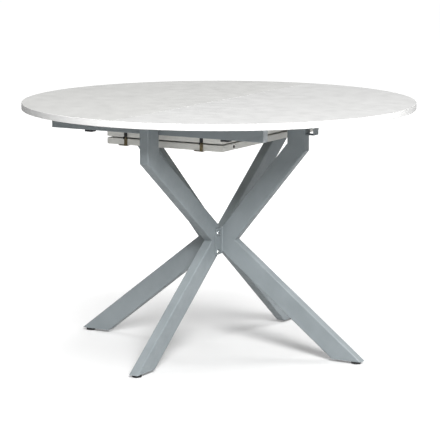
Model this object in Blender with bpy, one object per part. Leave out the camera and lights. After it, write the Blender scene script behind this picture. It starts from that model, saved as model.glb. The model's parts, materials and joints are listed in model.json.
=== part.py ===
"""Extendable round dining table with a folded butterfly leaf stored under the top.

Frame: metres, +Z up, origin on the floor under the table's centre. The two half tops slide apart
along X, the seam between them runs along Y. Two legs stand along X and two along Y.
"""

import math

import bmesh
import bpy
from mathutils import Matrix, Vector

# Driving dimensions
TOP_RADIUS = 0.600
TOP_HEIGHT = 0.765
BOARD = 0.019
TOP_UNDERSIDE = TOP_HEIGHT - BOARD
TOP_EDGE = 0.0012
LEAF_EDGE = 0.0008
GAP = 0.0003

# Leg tube and the bent line of each leg: r is the distance from the centre, z the height
TUBE_WIDTH = 0.060
TUBE_DEPTH = 0.030
TUBE_WALL = 0.002
TUBE_CORNER = 0.003
LEG_CUT_Z = 0.008
LEG_REACH = 0.4975
KNEE = (0.0655, 0.342)
CROSS_LEG_BEND = (0.4310, 0.620)
SIDE_LEG_BEND = (0.3045, 0.630)
CROSS_LEG_TOP = 0.745

# Hub: flanges of the two side legs bolted through the waist of the cross legs
FLANGE_INNER = TUBE_DEPTH / 2 + GAP
FLANGE = 0.0047
FLANGE_HALF_WIDTH = 0.049
FLANGE_Z = (0.296, 0.377)
HUB_BOLT_Y = 0.039
HUB_BOLT_Z = (0.304, 0.362)
HUB_BOLT_RADIUS = 0.004
HUB_BOLT_HEAD = 0.0075
HUB_BOLT_HEAD_HEIGHT = 0.0053

# Feet
GLIDE_R = LEG_REACH - 0.022
GLIDE_RADIUS = 0.0145
GLIDE_STEM_RADIUS = 0.004
GLIDE_STEM_TOP = 0.0165
FOOT_PLATE_Z = (0.0085, 0.0125)

# Top frame: two side rails and two cross bars
RAIL_HALF_LENGTH = 0.360
RAIL_WIDTH = 0.0247
RAIL_Z = (0.700, 0.745)
RAIL_OUTER = CROSS_LEG_BEND[0] - TUBE_WIDTH - GAP
RAIL_INNER = RAIL_OUTER - RAIL_WIDTH
CROSS_BAR_Z = (0.7265, 0.7447)
CROSS_BAR_X = (SIDE_LEG_BEND[0] - TUBE_WIDTH, SIDE_LEG_BEND[0])

# Slides: a C channel on each rail, and a runner under each half top in each channel
CHANNEL_HALF_LENGTH = 0.345
CHANNEL_DEPTH = 0.0209
CHANNEL_Z = (0.7005, 0.7255)
CHANNEL_WALL = 0.002
CHANNEL_SLOT_Z = (0.708, 0.718)
RUNNER_X = (0.004, 0.328)
RUNNER_PLATE = 0.0073
RISER_X = ((0.008, 0.040), (0.308, 0.328))
RISER_FLANGE = 0.004
SLIDE_GAP = 0.0005

# Leaf: two boards hinged along X at the front edge, carried on a shaft along X
LEAF_HALF_WIDTH = 0.198
LEAF_FRONT = -0.320
LEAF_REAR = 0.280
LEAF_LOWER_Z = 0.656
LEAF_GAP = 0.004
LEAF_UPPER_Z = LEAF_LOWER_Z + BOARD + LEAF_GAP
LEAF_UPPER_TOP = LEAF_UPPER_Z + BOARD
FOLD_Y = LEAF_FRONT - 0.0045
FOLD_Z = LEAF_LOWER_Z + BOARD + LEAF_GAP / 2
HINGE_X = (-0.132, 0.128)
HINGE_STRAP = 0.0025
HINGE_WIDTH = 0.010
HINGE_PLATE_WIDTH = 0.030
HINGE_PLATE_LENGTH = 0.040
KNUCKLE_RADIUS = 0.0036
HINGE_PIN_RADIUS = 0.0017
SHAFT_Y = FOLD_Y / 2
SHAFT_Z = (LEAF_UPPER_Z + TOP_HEIGHT) / 2
SHAFT_RADIUS = 0.006
SHAFT_HALF_LENGTH = CROSS_BAR_X[0] - 0.001
ARM_X = 0.185
ARM_THICKNESS = 0.005
ARM_BOSS_RADIUS = 0.0115
ARM_HEIGHT = 0.006
ARM_STRIP = 0.003
ARM_STRIP_HALF_WIDTH = 0.010
ARM_Y = (SHAFT_Y - 0.035, SHAFT_Y + 0.270)
ARM_STRIP_END = 0.005
ARM_SHOULDER_Y = SHAFT_Y + 0.035
BRACKET_THICKNESS = 0.005
BRACKET_Y = (SHAFT_Y - 0.022, SHAFT_Y + 0.050)
BRACKET_LOW = 0.709
PEG_Y = (SHAFT_Y + 0.028, SHAFT_Y + 0.036)
PEG_HEIGHT = 0.005
STOP_LEVER_X = (0.2255, 0.2325)
STOP_LEVER_LENGTH = 0.038
STOP_LEVER_HALF_HEIGHT = 0.005

# Alignment pins in the seam, one for each leaf board
PIN_RADIUS = 0.004
PIN_HALF_LENGTH = 0.0142
PIN_HOLE_DEPTH = 0.0155
LEAF_HOLE_Y = LEAF_FRONT + 0.067
SEAM_PIN_Y = LEAF_HOLE_Y - FOLD_Y

# Locks: a drop bolt under each half top and its keeper loop on the side leg's post
KEEPER_SIZE = 0.030
KEEPER_Z = (0.680, 0.701)
KEEPER_WALL = 0.002
BOLT_RADIUS = 0.004
BOLT_X = SIDE_LEG_BEND[0] + GAP + KEEPER_SIZE / 2
BOLT_Z = (0.7025, 0.737)
BOLT_KNOB_Z = 0.730
BOLT_TRAVEL = 0.012
HOUSING_HALF = 0.011
HOUSING_Z = (0.7065, TOP_UNDERSIDE - GAP)
KNOB_RADIUS = 0.005
KNOB_X = BOLT_X + 0.031
KNOB_LENGTH = 0.008
KNOB_STEM_RADIUS = 0.0022

LEG_ANGLES = {"left": 180, "right": 0, "front": -90, "rear": 90}
SIDES = {"right": 1, "left": -1}
ENDS = {"front": -1, "rear": 1}


# Scene, materials and small builders
def clear_scene():
    for old in list(bpy.data.objects):
        bpy.data.objects.remove(old)


def linear(channel):
    """One sRGB channel, 0 to 255, as linear light."""
    c = channel / 255
    return c / 12.92 if c <= 0.04045 else ((c + 0.055) / 1.055) ** 2.4


def finish(name, colour, roughness, metallic):
    """A Principled material from an sRGB hex colour such as 6b7073."""
    material = bpy.data.materials.new(name)
    material.use_nodes = True
    shader = material.node_tree.nodes["Principled BSDF"]
    rgb = [linear(int(colour[i : i + 2], 16)) for i in (0, 2, 4)]
    shader.inputs["Base Color"].default_value = (*rgb, 1)
    shader.inputs["Roughness"].default_value = roughness
    shader.inputs["Metallic"].default_value = metallic
    material.diffuse_color = (*rgb, 1)
    return material


def add_object(name, bm, material, origin=(0, 0, 0)):
    """Turns a bmesh in world coordinates into an object whose origin is at the given point."""
    bmesh.ops.remove_doubles(bm, verts=bm.verts[:], dist=1e-6)
    bmesh.ops.recalc_face_normals(bm, faces=bm.faces[:])
    bmesh.ops.translate(bm, verts=bm.verts[:], vec=-Vector(origin))
    mesh = bpy.data.meshes.new(name)
    bm.to_mesh(mesh)
    bm.free()
    mesh.materials.append(material)
    made = bpy.data.objects.new(name, mesh)
    made.location = origin
    bpy.context.collection.objects.link(made)
    return made


def box_mesh(low, high):
    bm = bmesh.new()
    size = Vector(high) - Vector(low)
    middle = (Vector(high) + Vector(low)) / 2
    bmesh.ops.create_cube(bm, size=1)
    bmesh.ops.scale(bm, vec=size, verts=bm.verts[:])
    bmesh.ops.translate(bm, vec=middle, verts=bm.verts[:])
    return bm


def box(name, low, high, material):
    return add_object(name, box_mesh(low, high), material)


def cylinder(name, start, end, radius, material, sides=24):
    """A round bar between two points."""
    start, end = Vector(start), Vector(end)
    along = end - start
    bm = bmesh.new()
    bmesh.ops.create_cone(
        bm, cap_ends=True, segments=sides, radius1=radius, radius2=radius, depth=along.length
    )
    turn = along.to_track_quat("Z", "Y").to_matrix().to_4x4()
    bmesh.ops.transform(bm, verts=bm.verts[:], matrix=Matrix.Translation((start + end) / 2) @ turn)
    return add_object(name, bm, material)


def plate(name, outline, start, end, material):
    """An outline of (y, z) points, extruded along X from start to end."""
    bm = bmesh.new()
    face = bm.faces.new([bm.verts.new((start, y, z)) for y, z in outline])
    extrude(bm, [face], (end - start, 0, 0))
    return add_object(name, bm, material)


def extrude(bm, faces, step):
    """Pulls faces out by a step, which makes a closed solid of flat faces."""
    pulled = bmesh.ops.extrude_face_region(bm, geom=faces)
    moved = [g for g in pulled["geom"] if isinstance(g, bmesh.types.BMVert)]
    bmesh.ops.translate(bm, vec=step, verts=moved)


def helper(made):
    """A cutter or a guide, which isn't part of the table."""
    made.hide_render = True
    made.display_type = "WIRE"
    return made


def combine(made, other, operation):
    """Cuts another solid out of a piece, or joins it on."""
    helper(other)
    step = made.modifiers.new(operation.lower(), "BOOLEAN")
    step.operation = operation
    step.solver = "EXACT"
    step.object = other
    return made


def cut(made, other):
    return combine(made, other, "DIFFERENCE")


def join(made, other):
    return combine(made, other, "UNION")


def smooth(made):
    made.data.shade_smooth()
    made.data.set_sharp_from_angle(angle=math.radians(35))
    return made


def carry(name, origin, pieces):
    """Parents pieces to an empty on their joint's axis."""
    axis = bpy.data.objects.new(name, None)
    axis.location = origin
    axis.empty_display_size = 0.05
    bpy.context.collection.objects.link(axis)
    for piece in pieces:
        piece.parent = axis
        piece.location = piece.location - axis.location
    return axis


# Rectangular tube
def section(width, depth, corner, steps=3):
    """Points of a rectangle with rounded corners, as (across, through)."""
    points = []
    for quarter, (sx, sy) in enumerate(((1, 1), (-1, 1), (-1, -1), (1, -1))):
        for step in range(steps + 1):
            angle = math.radians(90 * (quarter + step / steps))
            points.append(
                (
                    sx * (width / 2 - corner) + corner * math.cos(angle),
                    sy * (depth / 2 - corner) + corner * math.sin(angle),
                )
            )
    return points


def ring(bm, points):
    """A closed loop of edges through points."""
    verts = [bm.verts.new(p) for p in points]
    return [bm.edges.new((verts[i - 1], verts[i])) for i in range(len(verts))]


def tube_mesh(start, end, across, through, width, depth, corner, wall=None):
    """A straight rectangular tube along a centre line, or a solid bar if it has no wall."""
    start, along = Vector(start), Vector(end) - Vector(start)
    across, through = Vector(across), Vector(through)

    def loop(w, d, c):
        return [start + across * a + through * b for a, b in section(w, d, c)]

    bm = bmesh.new()
    outer = ring(bm, loop(width, depth, corner))
    if wall is None:
        faces = bmesh.ops.contextual_create(bm, geom=outer)["faces"]
    else:
        inner = ring(bm, loop(width - 2 * wall, depth - 2 * wall, max(corner - wall, 0.0008)))
        faces = bmesh.ops.bridge_loops(bm, edges=outer + inner)["faces"]
    extrude(bm, faces, along)
    return bm


def trim(bm, point, normal):
    """Cuts away what lies beyond a plane, and closes the cut."""
    everything = bm.verts[:] + bm.edges[:] + bm.faces[:]
    made = bmesh.ops.bisect_plane(
        bm, geom=everything, dist=1e-7, plane_co=point, plane_no=normal, clear_outer=True
    )
    rim = [g for g in made["geom_cut"] if isinstance(g, bmesh.types.BMEdge)]
    bmesh.ops.triangle_fill(bm, edges=rim, use_beauty=True)


def leg_tube(edge_start, edge_end, turn, trims, inset=0.0, wall=TUBE_WALL):
    """One straight stretch of a leg, drawn in the leg's own plane with r along X.

    Its edge line runs from edge_start to edge_end, and its width lies on the left of that line when
    turn is 1 and on the right when turn is -1. Each trim is a point and a normal in (r, z).
    """
    start, end = Vector(edge_start), Vector(edge_end)
    along = (end - start).normalized()
    across = Vector((-along.y, along.x)) * turn
    overrun = 2 * TUBE_WIDTH
    centre_start = start - along * overrun + across * TUBE_WIDTH / 2
    centre_end = end + along * overrun + across * TUBE_WIDTH / 2
    bm = tube_mesh(
        (centre_start.x, 0, centre_start.y),
        (centre_end.x, 0, centre_end.y),
        (across.x, 0, across.y),
        (0, 1, 0),
        TUBE_WIDTH - 2 * inset,
        TUBE_DEPTH - 2 * inset,
        TUBE_CORNER if wall else TUBE_CORNER / 2,
        wall,
    )
    for point, normal in trims:
        trim(bm, (point[0], 0, point[1]), (normal[0], 0, normal[1]))
    return bm


def leg(name, bend, inner_r, top_z, paint):
    """The three tubes of one leg: lower leg, upper arm and post."""
    foot = (LEG_REACH, LEG_CUT_Z)
    half = GAP / 2
    arm = (Vector(bend) - Vector(KNEE)).normalized()
    mitre = (arm + Vector((0, 1))).normalized()
    bend_low = Vector(bend) - mitre * half
    bend_high = Vector(bend) + mitre * half
    knee_cut = KNEE[1]
    lower = leg_tube(
        KNEE,
        foot,
        -1,
        [((0, LEG_CUT_Z), (0, -1)), ((0, knee_cut - half), (0, 1)), ((inner_r, 0), (-1, 0))],
    )
    upper = leg_tube(
        KNEE,
        bend,
        1,
        [((0, knee_cut + half), (0, -1)), ((inner_r, 0), (-1, 0)), (bend_low, mitre)],
    )
    post = leg_tube(
        bend,
        (bend[0], top_z),
        1,
        [(bend_high, -mitre), ((0, top_z), (0, 1))],
    )
    angle = math.radians(LEG_ANGLES[name])
    made = []
    for part, bm in (("lower_leg", lower), ("upper_arm", upper), ("post", post)):
        piece = smooth(add_object(f"{part}_{name}", bm, paint))
        piece.rotation_euler.z = angle
        made.append(piece)
    return made


def foot_plate(name, steel):
    """The plate welded in the mouth of a leg, with the levelling glide's hole."""
    low, high = FOOT_PLATE_Z
    bm = leg_tube(
        KNEE,
        (LEG_REACH, LEG_CUT_Z),
        -1,
        [((0, low), (0, -1)), ((0, high), (0, 1))],
        inset=TUBE_WALL + GAP,
        wall=None,
    )
    piece = add_object(f"foot_plate_{name}", bm, steel)
    hole_radius = GLIDE_STEM_RADIUS + GAP
    hole = cylinder(
        f"foot_hole_{name}", (GLIDE_R, 0, 0), (GLIDE_R, 0, 2 * high), hole_radius, steel
    )
    angle = math.radians(LEG_ANGLES[name])
    hole.rotation_euler.z = angle
    piece.rotation_euler.z = angle
    return cut(piece, hole)


def turned(name, profile, centre, material, sides=32):
    """A solid of revolution about the vertical: profile points are (radius, z) from axis to axis."""
    bm = bmesh.new()
    verts = [bm.verts.new((r, 0, z)) for r, z in profile]
    edges = [bm.edges.new(pair) for pair in zip(verts, verts[1:])]
    bmesh.ops.spin(
        bm,
        geom=verts + edges,
        axis=(0, 0, 1),
        cent=(0, 0, 0),
        angle=2 * math.pi,
        steps=sides,
        use_merge=True,
    )
    bmesh.ops.translate(bm, vec=(centre[0], centre[1], 0), verts=bm.verts[:])
    return smooth(add_object(name, bm, material, origin=(centre[0], centre[1], 0)))


def glide(name, plastic):
    """A levelling glide with its threaded stem, screwed up against the leg."""
    angle = math.radians(LEG_ANGLES[name])
    centre = (GLIDE_R * math.cos(angle), GLIDE_R * math.sin(angle))
    head_top = LEG_CUT_Z - GAP
    profile = (
        (0, 0),
        (GLIDE_RADIUS - 0.0015, 0),
        (GLIDE_RADIUS, 0.0015),
        (GLIDE_RADIUS, head_top - 0.001),
        (GLIDE_RADIUS - 0.001, head_top),
        (GLIDE_STEM_RADIUS, head_top),
        (GLIDE_STEM_RADIUS, GLIDE_STEM_TOP),
        (0, GLIDE_STEM_TOP),
    )
    return turned(f"glide_{name}", profile, centre, plastic)


# Hub
def hub_cutters(steel):
    """One through hole for each hub bolt, along X."""
    reach = FLANGE_INNER + 2 * FLANGE
    radius = HUB_BOLT_RADIUS + GAP
    return {
        (y, z): cylinder(f"hub_hole_{y}_{z}", (-reach, y, z), (reach, y, z), radius, steel, 16)
        for y in (-HUB_BOLT_Y, HUB_BOLT_Y)
        for z in HUB_BOLT_Z
    }


def hub_flange(name, side, cutters, paint):
    near = side * FLANGE_INNER
    far = side * (FLANGE_INNER + FLANGE)
    piece = box(
        name,
        (min(near, far), -FLANGE_HALF_WIDTH, FLANGE_Z[0]),
        (max(near, far), FLANGE_HALF_WIDTH, FLANGE_Z[1]),
        paint,
    )
    for cutter in cutters.values():
        cut(piece, cutter)
    return piece


def hub_bolt(name, y, z, zinc):
    """A hexagon bolt through both flanges and the waist, with its nut run up on the far side."""
    face = FLANGE_INNER + FLANGE + GAP
    outer = face + HUB_BOLT_HEAD_HEIGHT
    shank = (outer - 0.001, y, z), (0.001 - outer, y, z)
    piece = cylinder(name, *shank, HUB_BOLT_RADIUS, zinc, 16)
    for label, side in (("head", 1), ("nut", -1)):
        ends = (side * face, y, z), (side * outer, y, z)
        join(piece, cylinder(f"{name}_{label}", *ends, HUB_BOLT_HEAD, zinc, 6))
    return piece


# Top frame
def rail(name, end, paint):
    """A rectangular tube along X beside the front or rear post."""
    middle_y = end * (RAIL_INNER + RAIL_OUTER) / 2
    middle_z = sum(RAIL_Z) / 2
    bm = tube_mesh(
        (-RAIL_HALF_LENGTH, middle_y, middle_z),
        (RAIL_HALF_LENGTH, middle_y, middle_z),
        (0, 0, 1),
        (0, 1, 0),
        RAIL_Z[1] - RAIL_Z[0],
        RAIL_WIDTH,
        0.002,
        TUBE_WALL,
    )
    return smooth(add_object(name, bm, paint))


def cross_bar(name, side, paint):
    """A flat tube along Y on top of a side leg's post, between the rails."""
    middle_x = side * sum(CROSS_BAR_X) / 2
    middle_z = sum(CROSS_BAR_Z) / 2
    reach = RAIL_INNER - GAP
    bm = tube_mesh(
        (middle_x, -reach, middle_z),
        (middle_x, reach, middle_z),
        (1, 0, 0),
        (0, 0, 1),
        TUBE_WIDTH,
        CROSS_BAR_Z[1] - CROSS_BAR_Z[0],
        0.002,
        TUBE_WALL,
    )
    return smooth(add_object(name, bm, paint))


def channel(name, end, metal):
    """The C channel screwed to a rail's inner face, open towards the table's middle."""
    outer = RAIL_INNER - GAP
    inner = outer - CHANNEL_DEPTH
    low, high = CHANNEL_Z
    slot_low, slot_high = CHANNEL_SLOT_Z
    wall = CHANNEL_WALL
    outline = (
        (inner, low),
        (outer, low),
        (outer, high),
        (inner, high),
        (inner, slot_high),
        (inner + wall, slot_high),
        (inner + wall, high - wall),
        (outer - wall, high - wall),
        (outer - wall, low + wall),
        (inner + wall, low + wall),
        (inner + wall, slot_low),
        (inner, slot_low),
    )
    outline = [(end * y, z) for y, z in outline]
    return plate(name, outline, -CHANNEL_HALF_LENGTH, CHANNEL_HALF_LENGTH, metal)


def runner(name, side, end, metal):
    """A bar in the channel, with a neck through its slot, a plate, and two risers to the half top."""
    outer = RAIL_INNER - GAP - CHANNEL_WALL - SLIDE_GAP
    inner = RAIL_INNER - GAP - CHANNEL_DEPTH + CHANNEL_WALL + SLIDE_GAP
    plate_outer = RAIL_INNER - GAP - CHANNEL_DEPTH - SLIDE_GAP
    plate_inner = plate_outer - RUNNER_PLATE
    low = CHANNEL_Z[0] + CHANNEL_WALL + SLIDE_GAP
    high = CHANNEL_Z[1] - CHANNEL_WALL - SLIDE_GAP
    neck_low = CHANNEL_SLOT_Z[0] + SLIDE_GAP
    neck_high = CHANNEL_SLOT_Z[1] - SLIDE_GAP
    outline = (
        (plate_inner, low),
        (plate_outer, low),
        (plate_outer, neck_low),
        (inner, neck_low),
        (inner, low),
        (outer, low),
        (outer, high),
        (inner, high),
        (inner, neck_high),
        (plate_outer, neck_high),
        (plate_outer, high),
        (plate_inner, high),
    )
    outline = [(end * y, z) for y, z in outline]
    inboard, outboard = (side * x for x in RUNNER_X)
    piece = plate(name, outline, inboard, outboard, metal)
    top = TOP_UNDERSIDE - GAP
    root = high - RISER_FLANGE
    riser_outline = (
        (plate_inner, root),
        (plate_outer, root),
        (plate_outer, top - RISER_FLANGE),
        (outer, top - RISER_FLANGE),
        (outer, top),
        (plate_inner, top),
    )
    riser_outline = [(end * y, z) for y, z in riser_outline]
    for number, (x0, x1) in enumerate(RISER_X):
        riser = plate(f"{name}_riser_{number}", riser_outline, side * x0, side * x1, metal)
        join(piece, riser)
    return piece


# Half tops and their alignment pins
def half_top(name, side, lacquer):
    bm = bmesh.new()
    bmesh.ops.create_circle(bm, cap_ends=True, radius=TOP_RADIUS, segments=144)
    trim_flat(bm, side)
    extrude(bm, bm.faces[:], (0, 0, BOARD))
    bmesh.ops.translate(bm, vec=(0, 0, TOP_UNDERSIDE), verts=bm.verts[:])
    bmesh.ops.recalc_face_normals(bm, faces=bm.faces[:])
    rim = [e for e in bm.edges if abs(e.calc_face_angle(0)) > math.radians(60) and is_level(e)]
    bmesh.ops.bevel(
        bm, geom=rim, offset=TOP_EDGE, segments=2, affect="EDGES", profile=0.5, material=-1
    )
    piece = smooth(add_object(name, bm, lacquer))
    middle = TOP_UNDERSIDE + BOARD / 2
    for y in (-SEAM_PIN_Y, SEAM_PIN_Y):
        hole = cylinder(
            f"{name}_pin_hole_{y}",
            (side * PIN_HOLE_DEPTH, y, middle),
            (-side * PIN_HOLE_DEPTH, y, middle),
            PIN_RADIUS + GAP,
            lacquer,
            16,
        )
        cut(piece, hole)
    return piece


def trim_flat(bm, side):
    """Keeps one half of a flat disc, with half the seam's gap."""
    everything = bm.verts[:] + bm.edges[:] + bm.faces[:]
    bmesh.ops.bisect_plane(
        bm, geom=everything, plane_co=(side * GAP, 0, 0), plane_no=(-side, 0, 0), clear_outer=True
    )


def is_level(edge):
    first, second = (v.co.z for v in edge.verts)
    return abs(first - second) < 1e-6


def seam_pin(name, y, steel):
    middle = TOP_UNDERSIDE + BOARD / 2
    ends = [(x, y, middle) for x in (-PIN_HALF_LENGTH, PIN_HALF_LENGTH)]
    return smooth(cylinder(name, *ends, PIN_RADIUS, steel, 16))


# Leaf
def leaf_board(name, low_z, lacquer):
    """One board of the leaf, with a hole for a seam pin in its right side."""
    bm = box_mesh(
        (-LEAF_HALF_WIDTH, LEAF_FRONT, low_z),
        (LEAF_HALF_WIDTH, LEAF_REAR, low_z + BOARD),
    )
    bmesh.ops.bevel(
        bm, geom=bm.edges[:], offset=LEAF_EDGE, segments=1, affect="EDGES", profile=0.5, material=-1
    )
    piece = add_object(name, bm, lacquer)
    middle = low_z + BOARD / 2
    hole = cylinder(
        f"{name}_hole",
        (LEAF_HALF_WIDTH - PIN_HOLE_DEPTH, LEAF_HOLE_Y, middle),
        (LEAF_HALF_WIDTH + PIN_RADIUS, LEAF_HOLE_Y, middle),
        PIN_RADIUS + GAP,
        lacquer,
        16,
    )
    return cut(piece, hole)


def hinge_half(name, x, up, metal):
    """One half of a fold hinge: plate on the board's face, strap on its edge, and a knuckle.

    up is 1 for the half on the upper board and -1 for the half under the lower board.
    """
    half = HINGE_WIDTH / 2
    face = LEAF_UPPER_TOP + GAP if up == 1 else LEAF_LOWER_Z - GAP
    outside = face + up * HINGE_STRAP
    strap_y = (LEAF_FRONT - GAP - HINGE_STRAP, LEAF_FRONT - GAP)
    clear_z = FOLD_Z + up * (KNUCKLE_RADIUS + GAP)
    own = (x - half, x - GAP / 2) if up == 1 else (x + GAP / 2, x + half)

    def block(label, xs, ys, zs):
        return box(label, (xs[0], ys[0], min(zs)), (xs[1], ys[1], max(zs)), metal)

    piece = block(name, (x - half, x + half), strap_y, (clear_z, outside))
    leaf_x = (x + half - HINGE_PLATE_WIDTH, x + half - GAP)
    leaf_y = (strap_y[0] + GAP, LEAF_FRONT + HINGE_PLATE_LENGTH)
    join(piece, block(f"{name}_plate", leaf_x, leaf_y, (face, outside - up * GAP)))
    join(piece, block(f"{name}_neck", own, (strap_y[0], strap_y[1]), (FOLD_Z, clear_z + up * 0.001)))
    knuckle = cylinder(
        f"{name}_knuckle", (own[0], FOLD_Y, FOLD_Z), (own[1], FOLD_Y, FOLD_Z), KNUCKLE_RADIUS, metal, 16
    )
    join(piece, knuckle)
    bore = cylinder(
        f"{name}_bore",
        (x - HINGE_WIDTH, FOLD_Y, FOLD_Z),
        (x + HINGE_WIDTH, FOLD_Y, FOLD_Z),
        HINGE_PIN_RADIUS + GAP,
        metal,
        16,
    )
    return cut(piece, bore)


def carrier_arm(name, side, metal):
    """A plate on edge on top of the leaf: a foot strip, and a boss round the shaft."""
    base = LEAF_UPPER_TOP + GAP
    boss = [
        (
            SHAFT_Y + ARM_BOSS_RADIUS * math.cos(math.radians(a)),
            SHAFT_Z + ARM_BOSS_RADIUS * math.sin(math.radians(a)),
        )
        for a in range(-10, 191, 20)
    ]
    front, rear = ARM_Y
    low, high = base + 0.001, base + ARM_HEIGHT
    outline = [(rear, low), (rear, high), (ARM_SHOULDER_Y, high), *boss, (front, high), (front, low)]
    half = ARM_THICKNESS / 2
    middle = side * ARM_X
    piece = plate(name, outline, middle - half, middle + half, metal)
    strip = box(
        f"{name}_strip",
        (middle - ARM_STRIP_HALF_WIDTH, front - ARM_STRIP_END, base),
        (middle + ARM_STRIP_HALF_WIDTH, rear + ARM_STRIP_END, base + ARM_STRIP),
        metal,
    )
    join(piece, strip)
    bore = cylinder(
        f"{name}_bore",
        (middle - ARM_STRIP_HALF_WIDTH, SHAFT_Y, SHAFT_Z),
        (middle + ARM_STRIP_HALF_WIDTH, SHAFT_Y, SHAFT_Z),
        SHAFT_RADIUS + GAP,
        metal,
    )
    return cut(piece, bore)


def pivot_shaft(name, metal):
    """The shaft that the leaf turns on, with a stop lever welded near each end."""
    ends = [(x, SHAFT_Y, SHAFT_Z) for x in (-SHAFT_HALF_LENGTH, SHAFT_HALF_LENGTH)]
    piece = cylinder(name, *ends, SHAFT_RADIUS, metal)
    height = STOP_LEVER_HALF_HEIGHT
    for label, side in SIDES.items():
        x0, x1 = sorted(side * x for x in STOP_LEVER_X)
        lever = box(
            f"{name}_lever_{label}",
            (x0, SHAFT_Y, SHAFT_Z - height),
            (x1, SHAFT_Y + STOP_LEVER_LENGTH, SHAFT_Z + height),
            metal,
        )
        join(piece, lever)
    return piece


def shaft_bracket(name, side, metal):
    """A plate on the cross bar's inner face that holds the shaft, with a peg under the stop lever."""
    far = CROSS_BAR_X[0] - GAP
    near = far - BRACKET_THICKNESS
    x0, x1 = sorted((side * near, side * far))
    piece = box(name, (x0, BRACKET_Y[0], BRACKET_LOW), (x1, BRACKET_Y[1], CROSS_BAR_Z[1]), metal)
    peg_x0, peg_x1 = sorted((side * (near + 0.001), side * (STOP_LEVER_X[0] - 0.002)))
    peg_top = SHAFT_Z - STOP_LEVER_HALF_HEIGHT - GAP
    peg = box(
        f"{name}_peg",
        (peg_x0, PEG_Y[0], peg_top - PEG_HEIGHT),
        (peg_x1, PEG_Y[1], peg_top),
        metal,
    )
    join(piece, peg)
    bore = cylinder(
        f"{name}_bore",
        (x0 - BRACKET_THICKNESS, SHAFT_Y, SHAFT_Z),
        (x1 + BRACKET_THICKNESS, SHAFT_Y, SHAFT_Z),
        SHAFT_RADIUS + GAP,
        metal,
    )
    return cut(piece, bore)


# Locks
def keeper(name, side, metal):
    """A square loop of flat steel on the post's outer face, with a hole in its top for the bolt."""
    near = SIDE_LEG_BEND[0] + GAP
    far = near + KEEPER_SIZE
    half = KEEPER_SIZE / 2
    x0, x1 = sorted((side * near, side * far))
    piece = box(name, (x0, -half, KEEPER_Z[0]), (x1, half, KEEPER_Z[1]), metal)
    window = box(
        f"{name}_window",
        (x0 + KEEPER_WALL, -2 * half, KEEPER_Z[0] + KEEPER_WALL),
        (x1 - KEEPER_WALL, 2 * half, KEEPER_Z[1] - KEEPER_WALL),
        metal,
    )
    cut(piece, window)
    hole = cylinder(
        f"{name}_hole",
        (side * BOLT_X, 0, KEEPER_Z[1] - 2 * KEEPER_WALL),
        (side * BOLT_X, 0, KEEPER_Z[1] + KEEPER_WALL),
        BOLT_RADIUS + SLIDE_GAP,
        metal,
    )
    return cut(piece, hole)


def bolt_housing(name, side, plastic):
    """The bolt's guide under the half top, with a bore and a slot for the knob's stem."""
    middle = side * BOLT_X
    piece = box(
        name,
        (middle - HOUSING_HALF, -HOUSING_HALF, HOUSING_Z[0]),
        (middle + HOUSING_HALF, HOUSING_HALF, HOUSING_Z[1]),
        plastic,
    )
    bore = cylinder(
        f"{name}_bore",
        (middle, 0, HOUSING_Z[0] - BOLT_RADIUS),
        (middle, 0, BOLT_Z[1] + 0.001),
        BOLT_RADIUS + SLIDE_GAP,
        plastic,
    )
    slot_half = KNOB_STEM_RADIUS + SLIDE_GAP
    x0, x1 = sorted((middle, middle + side * 2 * HOUSING_HALF))
    slot = box(
        f"{name}_slot",
        (x0, -slot_half, BOLT_KNOB_Z - BOLT_TRAVEL - slot_half),
        (x1, slot_half, BOLT_KNOB_Z + slot_half),
        plastic,
    )
    cut(piece, bore)
    return cut(piece, slot)


def lock_bolt(name, side, metal):
    """The bolt, raised, with its knob towards the table's edge."""
    middle = side * BOLT_X
    piece = cylinder(name, (middle, 0, BOLT_Z[0]), (middle, 0, BOLT_Z[1]), BOLT_RADIUS, metal, 16)
    knob_end = side * KNOB_X
    stem = cylinder(
        f"{name}_stem",
        (middle, 0, BOLT_KNOB_Z),
        (knob_end - side * KNOB_RADIUS, 0, BOLT_KNOB_Z),
        KNOB_STEM_RADIUS,
        metal,
        12,
    )
    knob = cylinder(
        f"{name}_knob",
        (knob_end - side * KNOB_LENGTH, 0, BOLT_KNOB_Z),
        (knob_end, 0, BOLT_KNOB_Z),
        KNOB_RADIUS,
        metal,
        16,
    )
    join(piece, stem)
    return join(piece, knob)


def build_frame(paint, zinc):
    cutters = hub_cutters(zinc)
    for name in LEG_ANGLES:
        cross_leg = name in ENDS
        bend = CROSS_LEG_BEND if cross_leg else SIDE_LEG_BEND
        inner_r = GAP / 2 if cross_leg else FLANGE_INNER + FLANGE + GAP
        top_z = CROSS_LEG_TOP if cross_leg else CROSS_BAR_Z[0] - GAP
        lower, upper, _post = leg(name, bend, inner_r, top_z, paint)
        if cross_leg:
            y = ENDS[name] * HUB_BOLT_Y
            cut(lower, cutters[(y, HUB_BOLT_Z[0])])
            cut(upper, cutters[(y, HUB_BOLT_Z[1])])
        foot_plate(name, zinc)
    for name, side in SIDES.items():
        hub_flange(f"hub_flange_{name}", side, cutters, paint)
        cross_bar(f"cross_bar_{name}", side, paint)
        shaft_bracket(f"shaft_bracket_{name}", side, zinc)
        keeper(f"bolt_keeper_{name}", side, paint)
    for number, (y, z) in enumerate(cutters, 1):
        hub_bolt(f"hub_bolt_{number}", y, z, zinc)
    for name, end in ENDS.items():
        rail(f"side_rail_{name}", end, paint)
        channel(f"slide_channel_{name}", end, zinc)


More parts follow.
